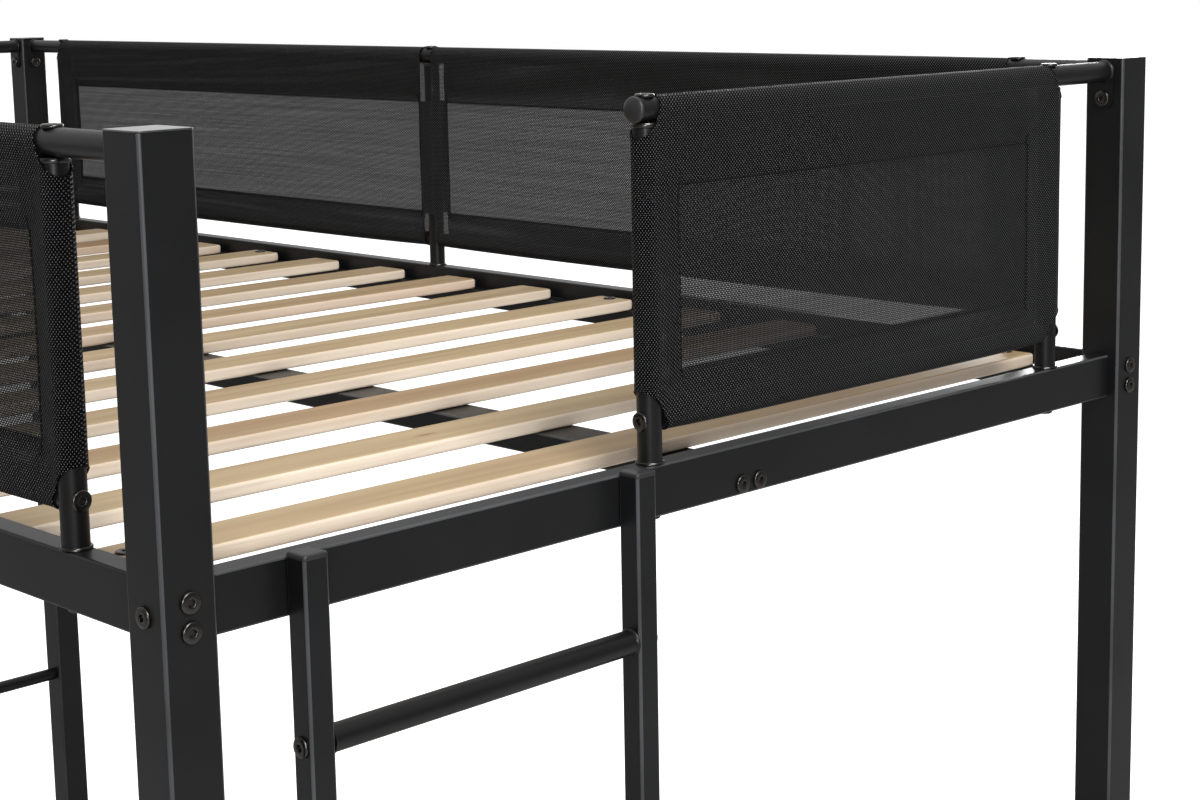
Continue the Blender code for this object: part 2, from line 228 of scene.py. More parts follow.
def slat_wood(name, pale, dark, knot):
    """Planed softwood with its grain along the slat, and a few small knots."""
    nodes = Nodes(bpy.data.materials.new(name))
    waves = nodes.noise(1.0, 5.0, 0.55, (2.2, 55.0, 70.0), 0.4)
    fibres = nodes.noise(1.0, 3.0, 0.6, (14.0, 900.0, 900.0))
    boards = nodes.noise(1.0, 1.0, 0.5, (0.35, 7.3, 7.3))
    patches = nodes.noise(1.0, 4.0, 0.6, (3.0, 30.0, 30.0), 1.0)
    redder = [channel * share for channel, share in zip(dark, (1.0, 0.84, 0.78))]
    grain = nodes.blend(nodes.spread(waves, 0.38, 0.68), pale, dark)
    for value, low, high, amount, colour in ((fibres, 0.60, 0.78, 0.45, shade(dark, 0.80)),
                                             (boards, 0.50, 0.70, 0.6, shade(pale, 1.10)),
                                             (boards, 0.48, 0.30, 0.75, redder),
                                             (patches, 0.60, 0.74, 0.45, redder)):
        grain = nodes.blend(nodes.spread(value, low, high, 0.0, amount), grain, colour)
    cells = nodes.add("ShaderNodeTexVoronoi")
    cells.inputs["Scale"].default_value = 1.0
    nodes.link(nodes.place((4.3, 17.0, 17.0)), cells.inputs["Vector"])
    spots = nodes.spread(cells.outputs["Distance"], 0.020, 0.062, 1.0, 0.0)
    nodes.colour(nodes.blend(spots, grain, knot))
    nodes.set(Roughness=0.55, Specular_IOR_Level=0.35)
    nodes.bump(fibres, 0.00012, 0.5)


def mesh_fabric(name, colour, glint, pitch, openness):
    """Coated mesh cloth: threads crossing on the slant, with small holes that let light through, and a
    painted glint where the threads cross.
    """
    nodes = Nodes(bpy.data.materials.new(name))
    split = nodes.add("ShaderNodeSeparateXYZ")
    nodes.link(nodes.place(), split.inputs["Vector"])
    along = nodes.maths("SUBTRACT", split.outputs["X"], split.outputs["Y"])
    turn = 2 * math.pi / pitch
    across, upward = (nodes.maths("COSINE", nodes.maths("MULTIPLY", way, turn))
                      for way in (along, split.outputs["Z"]))
    weave = nodes.maths("MULTIPLY", across, upward)
    # a lighter colour on the raised thread crossings: a painted glint
    nodes.colour(nodes.blend(nodes.spread(weave, -0.55, -0.95), colour, glint))
    nodes.set(Roughness=0.55, Specular_IOR_Level=0.06, Sheen_Weight=0.01, Sheen_Roughness=0.4)
    nodes.bump(weave, -0.0007, 1.0)
    streaks = nodes.spread(nodes.noise(1.0, 3.0, 0.6, (5.0, 5.0, 420.0)), 0.3, 0.7, 0.65, 1.25)
    holes = nodes.maths("MULTIPLY", nodes.spread(weave, 0.30, 0.75, 0.0, openness), streaks)
    mix = nodes.add("ShaderNodeMixShader")
    output = next(n for n in nodes.tree.nodes if n.type == "OUTPUT_MATERIAL")
    nodes.link(holes, mix.inputs["Fac"])
    nodes.link(nodes.shader.outputs["BSDF"], mix.inputs[1])
    nodes.link(nodes.add("ShaderNodeBsdfTransparent").outputs["BSDF"], mix.inputs[2])
    nodes.link(mix.outputs["Shader"], output.inputs["Surface"])


def woven_tape(name, colour, sheen=0.2):
    """Close-woven polyester, for tape and thread."""
    nodes = Nodes(bpy.data.materials.new(name))
    wave = nodes.add("ShaderNodeTexWave", bands_direction="DIAGONAL")
    wave.inputs["Scale"].default_value = 160.0
    nodes.link(nodes.place(), wave.inputs["Vector"])
    nodes.colour(nodes.blend(wave.outputs["Fac"], colour, shade(colour, 0.55)))
    nodes.set(Roughness=0.8, Specular_IOR_Level=0.2, Sheen_Weight=sheen)
    nodes.bump(wave.outputs["Fac"], 0.0002, 0.5)


def plain_floor(name, colour):
    """A pale floor that shows white, and lights the bed only by what falls on it."""
    nodes = Nodes(bpy.data.materials.new(name))
    nodes.colour(nodes.blend(nodes.noise(3.0), colour, shade(colour, 1.02)))
    nodes.set(Roughness=0.9, Emission_Color=(1.0, 1.0, 1.0, 1.0))
    seen = nodes.add("ShaderNodeLightPath").outputs["Is Camera Ray"]
    nodes.link(nodes.maths("MULTIPLY", seen, 1.0), nodes.shader.inputs["Emission Strength"])


def material(name):
    """A material made by an operator above."""
    found = bpy.data.materials.get(name)
    if found is None:
        raise RuntimeError(f"make the materials first: {name} is missing")
    return found


# ---------------------------------------------------------------- shapes


def circle(radius, steps=ROUND_STEPS):
    return [(radius * math.cos(a), radius * math.sin(a))
            for a in (2 * math.pi * i / steps for i in range(steps))]


def rounded_rectangle(wide, high, radius, steps=CORNER_STEPS):
    points = []
    for quarter, (side, lift) in enumerate(((1, 1), (-1, 1), (-1, -1), (1, -1))):
        for step in range(steps + 1):
            angle = (quarter + step / steps) * math.pi / 2
            points.append((side * (wide / 2 - radius) + radius * math.cos(angle),
                           lift * (high / 2 - radius) + radius * math.sin(angle)))
    return points


def axes_for(direction):
    """Two unit vectors that make a right-handed set with this direction."""
    direction = direction.normalized()
    across = Z if abs(direction.z) < 0.9 else X
    first = across.cross(direction).normalized()
    return first, direction.cross(first)


def loft(mesh, rings):
    """Skins a run of rings with the same number of points, and closes both ends with a sharp-edged face."""
    made = [[mesh.verts.new(point) for point in ring] for ring in rings]
    count = len(rings[0])
    for low, high in zip(made, made[1:]):
        for i in range(count):
            j = (i + 1) % count
            mesh.faces.new((low[i], low[j], high[j], high[i])).smooth = True
    for ring in (made[0][::-1], made[-1]):
        for edge in mesh.faces.new(ring).edges:
            edge.smooth = False


def ring_at(outline, centre, direction):
    first, second = axes_for(direction)
    return [centre + (a * first + b * second) for a, b in outline]


def add_bar(mesh, outline, start, end):
    """A straight bar with this outline; on a level bar the outline's second number is upwards."""
    loft(mesh, [ring_at(outline, place, end - start) for place in (start, end)])


def add_turned(mesh, profile, base, direction, steps=24):
    """A turned shape: profile holds (radius, distance along the direction) pairs."""
    direction = direction.normalized()
    loft(mesh, [ring_at(circle(radius, steps), base + direction * far, direction) for radius, far in profile])


def add_slab(mesh, centre, wide, deep, corner, profile):
    """A flat board in plan with rounded corners: profile holds (inset, height) pairs from below."""
    rings = []
    for inset, height in profile:
        outline = rounded_rectangle(wide - 2 * inset, deep - 2 * inset, max(corner - inset, 0.0004), 4)
        rings.append([Vector((centre.x + a, centre.y + b, height)) for a, b in outline])
    loft(mesh, rings)


def new_object(name, data):
    made = bpy.data.objects.new(name, data)
    bpy.context.scene.collection.objects.link(made)
    return made


def from_mesh(name, mesh, *looks):
    """Turns a mesh being built into an object with these materials."""
    data = bpy.data.meshes.new(name)
    mesh.to_mesh(data)
    mesh.free()
    for look in looks:
        data.materials.append(material(look))
    return new_object(name, data)


def add_piece(name, mesh, *looks, slot=None, replaces=(), sort=None, even=False):
    """A piece that rides on the frame; even keeps large flats flat beside their small rounded corners."""
    bmesh.ops.recalc_face_normals(mesh, faces=mesh.faces)
    if sort is not None:
        for face in mesh.faces:
            face.material_index = sort(face)
    made = from_mesh(name, mesh, *looks)
    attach(made, "root")
    if even:
        made.modifiers.new("even_normals", "WEIGHTED_NORMAL").keep_sharp = True
    if replaces:
        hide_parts(*replaces)
    return made


# ---------------------------------------------------------------- settings


def colour_property(name, description, default):
    return bpy.props.FloatVectorProperty(name=name, description=description, default=default,
                                         subtype="COLOR", size=3, min=0.0, max=1.0)


def length_property(name, description, default):
    return bpy.props.FloatProperty(name=name, description=description, default=default,
                                   min=0.0, subtype="DISTANCE", unit="LENGTH", precision=4)


def factor_property(name, description, default):
    return bpy.props.FloatProperty(name=name, description=description, default=default,
                                   min=0.0, max=1.0, subtype="FACTOR")


class BunkFinishes(bpy.types.PropertyGroup):
    """Colours and finishes."""

    steel: colour_property("Steel paint", "Powder coat on the frame", (0.0040, 0.0041, 0.0044))
    # the lighter paint on the square tubes' rounded corners is a painted highlight along those corners
    steel_corner_highlight: colour_property("Corner highlight paint", "Lighter paint on the corners, a painted highlight", (0.034, 0.0345, 0.036))
    steel_roughness: factor_property("Paint roughness", "How matt the powder coat is", 0.36)
    bolts: colour_property("Bolts", "Plating on the bolt heads", (0.048, 0.046, 0.044))
    plastic: colour_property("Plastic", "Caps and feet", (0.014, 0.014, 0.015))
    plastic_roughness: factor_property("Plastic roughness", "How matt the caps are", 0.40)
    wood_pale: colour_property("Wood, pale", "Lighter grain on the slat tops", (0.391, 0.288, 0.163))
    wood_dark: colour_property("Wood, dark", "Darker grain on the slat tops", (0.277, 0.189, 0.096))
    # the slats' sides use a lighter copy of the wood than their tops: painted light on the sides
    edge_lit_pale: colour_property("Slat edge, pale", "Pale grain on the slat edges, lightened as painted light", (0.640, 0.544, 0.436))
    edge_lit_dark: colour_property("Slat edge, dark", "Dark grain on the slat edges, lightened as painted light", (0.488, 0.389, 0.292))
    fabric: colour_property("Mesh fabric", "Threads of the guard panels", (0.0011, 0.0011, 0.0013))
    # the glint colour is a painted glint on the crossings of the threads
    fabric_glint: colour_property("Mesh glint", "Raised threads that catch light", (0.146, 0.146, 0.150))
    tape: colour_property("Slat tape", "Tape that joins the lower slats", (0.06, 0.06, 0.062))


class BunkFabric(bpy.types.PropertyGroup):
    """Cut and fit of the guard panels."""

    slack: length_property("Slack", "Room between a tube and the sleeve round it", 0.0012)
    side_hem: length_property("Side hem", "From a panel's end to its upright seam", 0.046)
    top_hem: length_property("Top hem", "From the top fold down to its seam", 0.069)
    bottom_hem: length_property("Bottom hem", "From the bottom fold up to its seam", 0.043)
    pocket: length_property("Middle pocket", "Half the width of the pocket for a middle upright", 0.027)
    pitch: length_property("Weave pitch", "Distance between two holes along the cloth", 0.0032)
    openness: factor_property("Hole openness", "How clear each hole in the cloth is", 0.26)
    stitch: length_property("Stitch length", "From one stitch to the next", 0.0045)


class BunkFittings(bpy.types.PropertyGroup):
    """Bolts, screws and caps."""

    head: length_property("Bolt head", "Diameter of a flat bolt head", 0.0148)
    head_high: length_property("Head height", "Height of a flat bolt head", 0.0024)
    socket: length_property("Hex socket", "Width across the flats of the socket", 0.005)
    screw: length_property("Screw head", "Diameter of a slat screw's head", 0.0145)
    cap_high: length_property("Ladder cap", "How far a ladder cap stands above its tube", 0.004)


def angle_property(name, description, degrees):
    return bpy.props.FloatProperty(name=name, description=description, default=math.radians(degrees),
                                   subtype="ANGLE", unit="ROTATION")


class BunkStage(bpy.types.PropertyGroup):
    """Camera and floor."""

    lens: bpy.props.FloatProperty(name="Lens", description="Focal length of the camera", default=65.0,
                                  min=10.0, subtype="DISTANCE_CAMERA", unit="CAMERA")
    place: bpy.props.FloatVectorProperty(name="Camera place", description="Where the camera stands",
                                         default=(-1.2359, -2.0995, 1.7376), size=3,
                                         subtype="TRANSLATION", unit="LENGTH")
    heading: angle_property("Heading", "Turn of the camera away from the bed's length", -44.212)
    pitch: angle_property("Pitch", "How far the camera looks down", 9.049)
    roll: angle_property("Roll", "Lean of the camera", -1.053)
    shift: factor_property("Lens shift", "Share of the picture's width the view moves down", 0.07)
    floor: colour_property("Floor", "Colour of the floor", (0.52, 0.52, 0.52))


GROUPS = (("bunk_finishes", BunkFinishes), ("bunk_fabric", BunkFabric),
          ("bunk_fittings", BunkFittings), ("bunk_stage", BunkStage))


# ---------------------------------------------------------------- operators


class BUNK_OT_materials(bpy.types.Operator):
    """Make the paint, plating, plastic, wood and fabric"""

    bl_idname = "bunk.materials"
    bl_label = "Materials"

    def execute(self, context):
        look, cloth = context.scene.bunk_finishes, context.scene.bunk_fabric
        painted_steel("powder_coat", look.steel, look.steel_roughness)
        # a lighter copy of the powder coat for the rounded corners: a painted highlight
        painted_steel("powder_coat_highlight", look.steel_corner_highlight, look.steel_roughness * 0.8)
        bolt_steel("bolt_plating", look.bolts)
        moulded_plastic("cap_moulding", look.plastic, look.plastic_roughness, 0.35)
        moulded_plastic("cap_gloss", look.plastic, look.plastic_roughness * 0.35, 1.0)
        slat_wood("slat_face", look.wood_pale, look.wood_dark, (0.22, 0.115, 0.05))
        # the lighter copy of the wood for the slats' sides, with a lighter knot too: painted light
        slat_wood("slat_edge_lit", look.edge_lit_pale, look.edge_lit_dark, (0.42, 0.24, 0.12))
        mesh_fabric("panel_mesh", look.fabric, look.fabric_glint, cloth.pitch, cloth.openness)
        mesh_fabric("panel_mesh_solid", look.fabric, look.fabric_glint, cloth.pitch, 0.0)
        woven_tape("slat_tape", look.tape)
        woven_tape("seam_thread", look.steel, 0.0)
        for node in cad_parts.values():
            node.data.materials.clear()
            node.data.materials.append(material("powder_coat"))
        return {"FINISHED"}


def is_highlight_corner(face):
    """The rounded corners of a square tube, away from its flats, which get lighter paint as a painted
    highlight.
    """
    return int(max(map(abs, face.normal)) < 0.94)


def dress(name, mesh, *nodes, squared=False):
    """A painted steel piece that stands for these nodes of the frame."""
    # square tubes get the lighter paint on their rounded corners, a painted highlight
    add_piece(name, mesh, "powder_coat", "powder_coat_highlight", slot="frame_steel", replaces=nodes,
              sort=is_highlight_corner if squared else None, even=True)


def long_axis(node):
    extent = size(node)
    return AXES[max(range(3), key=lambda i: extent[i])]


def ends_of(node):
    """The middles of a straight node's two ends."""
    centre, axis = middle(node), long_axis(node)
    half = axis * (size(node).dot(axis) / 2)
    return centre - half, centre + half


def straight(node, corner=None, trim=0.0, grow=0.0):
    """Draws a straight tube again with finer corners, round where no corner is given."""
    start, end = ends_of(node)
    start += long_axis(node) * trim
    end += long_axis(node) * grow
    extent = size(node)
    wide, high = (abs(extent.dot(Vector(map(abs, axis)))) for axis in axes_for(end - start))
    mesh = bmesh.new()
    add_bar(mesh, circle(wide / 2) if corner is None else rounded_rectangle(wide, high, corner), start, end)
    dress(node + "_tube", mesh, node, squared=corner is not None)


class BUNK_OT_posts(bpy.types.Operator):
    """Draw the four posts up to their caps"""

    bl_idname = "bunk.posts"
    bl_label = "Posts"

    def execute(self, context):
        for corner in CORNERS:
            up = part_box(f"post_cap_{corner}")[1].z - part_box(f"post_{corner}")[1].z
            straight(f"post_{corner}", POST_CORNER, grow=up - CAP_PLATE)
        return {"FINISHED"}


class BUNK_OT_rails(bpy.types.Operator):
    """Draw the side rails with their ledges, the end rails and the beams"""

    bl_idname = "bunk.rails"
    bl_label = "Rails and beams"

    def execute(self, context):
        for level in LEVELS:
            for side in SIDES:
                self.side_rail(f"{level}_rail_{side}", -1 if side == "left" else 1)
            for end in ENDS:
                straight(f"{level}_end_rail_{end}", RAIL_CORNER)
            straight(f"{level}_centre_beam", RAIL_CORNER)
        return {"FINISHED"}

    def side_rail(self, node, side):
        low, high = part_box(node)
        outer = high.x if side > 0 else low.x
        inner = low.x if side > 0 else high.x
        split = inner + side * LEDGE_WIDE
        mesh = bmesh.new()
        for near, far, top, corner in ((split, outer, high.z, RAIL_CORNER),
                                       (inner, split, low.z + LEDGE_HIGH, LEDGE_CORNER)):
            centre = Vector(((near + far) / 2, 0, (low.z + top) / 2))
            outline = rounded_rectangle(abs(far - near), top - low.z, corner)
            add_bar(mesh, outline, centre + Y * low.y, centre + Y * high.y)
        for i in range(WELD_COUNT):
            y = low.y + WELD_INSET + i * (high.y - low.y - 2 * WELD_INSET) / (WELD_COUNT - 1)
            start = Vector((split, y - WELD_LONG / 2, low.z + LEDGE_HIGH - 0.0003))
            add_bar(mesh, circle(WELD_RADIUS, 10), start, start + Y * WELD_LONG)
        dress(node + "_tubes", mesh, node)


class BUNK_OT_guards(bpy.types.Operator):
    """Draw the round guard tubes, their welds, saddles, tabs and end plug"""

    bl_idname = "bunk.guards"
    bl_label = "Guard tubes"

    def execute(self, context):
        for end in ENDS:
            straight(f"{end}_guard_top_tube", trim=TUBE_END_TRIM if end == "front" else 0.0)
            for part in GUARD_PARTS[1:]:
                straight(f"{end}_guard_{part}")
            straight(f"lower_end_tube_{end}")
        for side in SIDES:
            straight(f"{side}_guard_top_tube")
            self.side_frame(side)
        self.tabs()
        self.saddles()
        self.plug()
        return {"FINISHED"}

    def side_frame(self, side):
        """Three uprights and the tube through the panels' lower hems."""
        node = f"{side}_guard_frame"
        low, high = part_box(node)
        x = middle(node).x
        mesh = bmesh.new()
        radius = upright_radius()
        for y in upright_places(side):
            add_bar(mesh, circle(radius), Vector((x, y, low.z)), Vector((x, y, high.z)))
        tube = "front_guard_lower_tube"
        start, end = (Vector((x, y, middle(tube).z)) for y in (low.y + radius, high.y - radius))
        add_bar(mesh, circle(size(tube).z / 2), start, end)
        dress(node + "_tubes", mesh, node)

    def tabs(self):
        """Flat tabs welded under the ends of the top tubes, and the welds round those ends."""
        mesh = bmesh.new()
        outline = [(-TAB_HALF, TAB_TOP), (TAB_HALF, TAB_TOP), (TAB_HALF, TAB_FOOT + TAB_CORNER),
                   (TAB_HALF - TAB_CORNER, TAB_FOOT), (-TAB_HALF + TAB_CORNER, TAB_FOOT),
                   (-TAB_HALF, TAB_FOOT + TAB_CORNER)]
        bead = [(0.0108, 0.0), (0.0112, 0.0006), (0.0104, 0.0016), (0.0094, 0.0024)]
        for place, outward, _ in tab_places():
            sideways = outward.cross(Z)
            loft(mesh, [[place + outward * far + sideways * a + Z * b for a, b in outline]
                        for far in (0.0002, TAB_THICK)])
            add_turned(mesh, bead, place + outward * 0.0002, outward, 28)
        dress("guard_end_tabs", mesh)

    def saddles(self):
        """Rings between the top tubes and the uprights, and round the uprights' feet."""
        mesh = bmesh.new()
        foot, top = (corner.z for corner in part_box("front_guard_upright_left"))
        saddle = [(0.0098, -0.0034), (0.0106, -0.0028), (0.0106, -0.0008), (0.0100, 0.0002)]
        collar = [(0.0112, 0.0), (0.0112, 0.0010), (0.0104, 0.0018)]
        for height, profile in ((top, saddle), (foot, collar)):
            for x, y in all_uprights():
                add_turned(mesh, profile, Vector((x, y, height)), Z, 32)
        add_piece("guard_saddles", mesh, "bolt_plating")

    def plug(self):
        """The round plug in the open end of the front guard's top tube."""
        start = ends_of("front_guard_top_tube")[0] + X * TUBE_END_TRIM
        mesh = bmesh.new()
        add_turned(mesh, [(0.0080, 0.0), (0.0099, 0.0004), (0.0101, 0.0014), (0.0097, 0.0024),
                          (0.0080, 0.0033), (0.0050, 0.0039), (0.0020, 0.0041)], start, -X, 40)
        add_piece("guard_end_plug", mesh, "cap_moulding", slot="cap_plastic")


def upright_radius():
    return size("front_guard_upright_left").x / 2


def upright_places(side):
    """Y of the three uprights of a side guard."""
    low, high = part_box(f"{side}_guard_frame")
    near, far = low.y + upright_radius(), high.y - upright_radius()
    return near, (near + far) / 2, far


def all_uprights():
    """X and Y of every guard upright."""
    ends = [middle(f"{end}_guard_upright_{side}") for end in ENDS for side in SIDES]
    return [(centre.x, centre.y) for centre in ends] + [
        (middle(f"{side}_guard_frame").x, y) for side in SIDES for y in upright_places(side)]


def tab_places():
    """For each tube end at a post: its place on the post, the way out along the tube, and the tab's bolt."""
    found = []
    for name in ENDS + SIDES:
        start, end = ends_of(f"{name}_guard_top_tube")
        axis = (end - start).normalized()
        for place, outward in ((start, axis), (end, -axis)):
            if name == "front" and outward.x > 0:
                continue
            found.append((place, outward, place - Z * TAB_BOLT_DROP + outward * TAB_THICK))
    return found


def add_bolt(mesh, place, outward, head, high, socket):
    """A flat bolt head with a bevelled rim and a six-sided socket."""
    steps = 24
    radius = head / 2

    def hexagon(width):
        return [(r * math.cos(a), r * math.sin(a)) for a in (2 * math.pi * i / steps for i in range(steps))
                for r in (width / 2 / math.cos(a % (math.pi / 3) - math.pi / 6),)]

    rim = ((0.97, 0.0), (1.0, 0.12), (1.0, 0.5), (0.965, 0.78), (0.88, 1.0), (0.5, 1.0))
    outlines = [(circle(radius * share, steps), far) for share, far in rim]
    outlines += [(hexagon(socket), far) for far in (1.0, 0.96, 0.25)]
    loft(mesh, [ring_at(outline, place + outward * high * far, outward) for outline, far in outlines])


class BUNK_OT_bolts(bpy.types.Operator):
    """Put in the bolts of the posts, rails, ladder and guards"""

    bl_idname = "bunk.bolts"
    bl_label = "Bolts"

    def execute(self, context):
        sizes = context.scene.bunk_fittings
        for name in ("post", "beam", "guard", "ladder"):
            mesh = bmesh.new()
            for place, outward in getattr(self, name + "_places")():
                add_bolt(mesh, place, outward, sizes.head, sizes.head_high, sizes.socket)
            add_piece(name + "_bolts", mesh, "bolt_plating")
        return {"FINISHED"}

    def post_places(self):
        """Two bolts in each post's end face for the side rail, and one in its side face for the end rail."""
        for corner in CORNERS:
            centre, half = middle(f"post_{corner}"), size(f"post_{corner}").x / 2
            end = -Y if "front" in corner else Y
            side = -X if "left" in corner else X
            for level in LEVELS:
                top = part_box(f"{level}_rail_left")[1].z
                for drop in RAIL_BOLT_DROPS:
                    yield Vector((centre.x, centre.y, top - drop)) + end * half, end
                yield Vector((centre.x, centre.y, top - SIDE_BOLT_DROP)) + side * half, side

    def beam_places(self):
        """Two bolts through each end rail into the centre beam."""
        for level in LEVELS:
            for end, outward in (("front", -Y), ("rear", Y)):
                rail = f"{level}_end_rail_{end}"
                half = size(rail).y / 2
                height = middle(f"{level}_centre_beam").z - 0.001
                for x in (-BEAM_BOLT_HALF, BEAM_BOLT_HALF):
                    yield Vector((x, middle(rail).y, height)) + outward * half, outward

    def guard_places(self):
        """Bolts above and below each upright, through the tabs, and into the lower tubes' ends."""
        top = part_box("left_guard_top_tube")[1].z
        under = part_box("upper_rail_left")[0].z
        for x, y in all_uprights():
            yield Vector((x, y, top - 0.0004)), Z
            yield Vector((x, y, under)), -Z
        for _, outward, bolt in tab_places():
            yield bolt, outward
        height = middle("front_guard_lower_tube").z
        radius = upright_radius() - 0.0005
        for end in ENDS:
            for side, outward in (("left", -X), ("right", X)):
                centre = middle(f"{end}_guard_upright_{side}")
                yield Vector((centre.x, centre.y, height)) + outward * radius, outward
        for side in SIDES:
            x = middle(f"{side}_guard_frame").x
            near, _, far = upright_places(side)
            yield Vector((x, near - radius, height)), -Y
            yield Vector((x, far + radius, height)), Y

    def ladder_places(self):
        """One bolt through each upright into each rung."""
        for side, outward in (("left", -X), ("right", X)):
            upright = f"ladder_upright_{side}"
            half = size(upright).x / 2
            for number in range(1, RUNG_COUNT + 1):
                height = middle(f"ladder_rung_{number}").z
                yield Vector((middle(upright).x, middle(upright).y, height)) + outward * half, outward


class BUNK_OT_ladder(bpy.types.Operator):
    """Draw the ladder's uprights and rungs"""

    bl_idname = "bunk.ladder"
    bl_label = "Ladder"

    def execute(self, context):
        for side in SIDES:
            straight(f"ladder_upright_{side}", LADDER_CORNER)
        for number in range(1, RUNG_COUNT + 1):
            straight(f"ladder_rung_{number}")
        mesh = bmesh.new()
        bead = ((0.0012, 0.0), (0.0013, 0.0005), (0.0006, 0.0014), (-0.0002, 0.0022))
        for number in range(1, RUNG_COUNT + 1):
            rung = f"ladder_rung_{number}"
            radius = size(rung).z / 2
            profile = [(radius + more, far) for more, far in bead]
            for place, inward in zip(ends_of(rung), (X, -X)):
                add_turned(mesh, profile, place - inward * 0.0002, inward, 32)
        dress("ladder_rung_welds", mesh)
        return {"FINISHED"}


class BUNK_OT_caps(bpy.types.Operator):
    """Put the plastic caps on the posts and ladder, and shoes under them"""

    bl_idname = "bunk.caps"
    bl_label = "Caps and feet"

    def execute(self, context):
        high = context.scene.bunk_fittings.cap_high
        for corner in CORNERS:
            self.post_cap(f"post_cap_{corner}")
        mesh = bmesh.new()
        for side in SIDES:
            node = f"ladder_upright_{side}"
            wide, top = size(node).x + 0.0004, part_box(node)[1].z
            add_slab(mesh, middle(node), wide, wide, 0.003,
                     [(0.0003, top), (0.0, top + 0.0004), (0.0, top + high * 0.55),
                      (0.0008, top + high * 0.82), (0.0024, top + high), (0.006, top + high + 0.0002)])
        self.done("ladder_caps", mesh)
        self.shoes()
        return {"FINISHED"}

    def post_cap(self, node):
        """A glossy plate with a small bevel, on top of a post."""
        top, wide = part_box(node)[1].z, size(node).x
        under = top - CAP_PLATE
        mesh = bmesh.new()
        add_slab(mesh, middle(node), wide, wide, POST_CORNER,
                 [(0.0005, under + 0.0001), (0.0, under + 0.0003), (0.0, top - 0.0005),
                  (0.0003, top - 0.0001), (0.0008, top), (0.010, top)])
        self.done(node + "_moulding", mesh, node, look="cap_gloss")

    def shoes(self):
        """Shallow shoes that the posts and the ladder stand in."""
        mesh = bmesh.new()
        shoes = [(f"post_{corner}", POST_SHOE) for corner in CORNERS]
        shoes += [(f"ladder_upright_{side}", LADDER_SHOE) for side in SIDES]
        for node, high in shoes:
            wide = size(node).x + SHOE_PLAY
            add_slab(mesh, middle(node), wide, wide, 0.004,
                     [(0.0012, 0.0), (0.0, 0.0012), (0.0, high - 0.001), (0.0006, high), (0.0014, high)])
        self.done("floor_shoes", mesh)

    def done(self, name, mesh, *nodes, look="cap_moulding"):
        add_piece(name, mesh, look, slot="cap_plastic", replaces=nodes, even=True)


# the sides of a slat, which take the lighter wood of painted light
def is_lit_side(face):
    return int(abs(face.normal.z) < 0.6)


# the slat's rounded edges: how far in from its side, and how far up from its underside
SLAT_PROFILE = ((0.0030, 0.0), (0.0012, 0.0005), (0.0003, 0.0018), (0.0, 0.0034),
                (0.0, 0.0086), (0.0003, 0.0102), (0.0012, 0.0115), (0.0030, 0.0120))


def add_slat(mesh, low, high):
    add_slab(mesh, (low + high) / 2, high.x - low.x, high.y - low.y, SLAT_CORNER,
             [(inset, low.z + rise) for inset, rise in SLAT_PROFILE])


def wooden(name, mesh, node):
    # the sides get the lighter copy of the wood, painted light; the tops keep the plain wood
    add_piece(name, mesh, "slat_face", "slat_edge_lit", slot="slat_wood", replaces=[node],
              sort=is_lit_side, even=True)


class BUNK_OT_slats(bpy.types.Operator):
    """Lay the slats of both beds, with their screws and the lower tapes"""

    bl_idname = "bunk.slats"
    bl_label = "Slats"

    def execute(self, context):
        boxes = [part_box(f"upper_slat_{number:02d}") for number in range(1, SLAT_COUNT + 1)]
        for number, corners in enumerate(boxes, 1):
            mesh = bmesh.new()
            add_slat(mesh, *corners)
            wooden(f"upper_slat_{number:02d}_board", mesh, f"upper_slat_{number:02d}")
        self.lower_deck(boxes)
        self.screws(boxes, context.scene.bunk_fittings.screw)
        return {"FINISHED"}

    def lower_deck(self, boxes):
        """The upper slats again, lower down, on two tapes."""
        low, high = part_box("lower_slat_deck")
        under = high.z - (boxes[0][1].z - boxes[0][0].z)
        mesh, tape = bmesh.new(), bmesh.new()
        for slat_low, slat_high in boxes:
            add_slat(mesh, Vector((*slat_low.xy, under)), Vector((*slat_high.xy, high.z)))
        wooden("lower_slats", mesh, "lower_slat_deck")
        for x in (low.x + TAPE_INSET, high.x - TAPE_INSET):
            centre = Vector((x, 0, under - 0.0008))
            add_bar(tape, rounded_rectangle(TAPE_WIDE, TAPE_THICK, 0.0005, 2),
                    centre + Y * (low.y + 0.01), centre + Y * (high.y - 0.01))
        add_piece("lower_slat_tapes", tape, "slat_tape", even=True)

    def screws(self, boxes, head):
        mesh = bmesh.new()
        for number in SCREWED_SLATS:
            low, high = boxes[number - 1]
            for x in (low.x + SCREW_INSET, high.x - SCREW_INSET):
                place = Vector((x, (low.y + high.y) / 2, high.z - 0.0006))
                add_bolt(mesh, place, Z, head, SCREW_HIGH, head * SCREW_SOCKET)
        add_piece("slat_screws", mesh, "bolt_plating")


# ---------------------------------------------------------------- guard panels


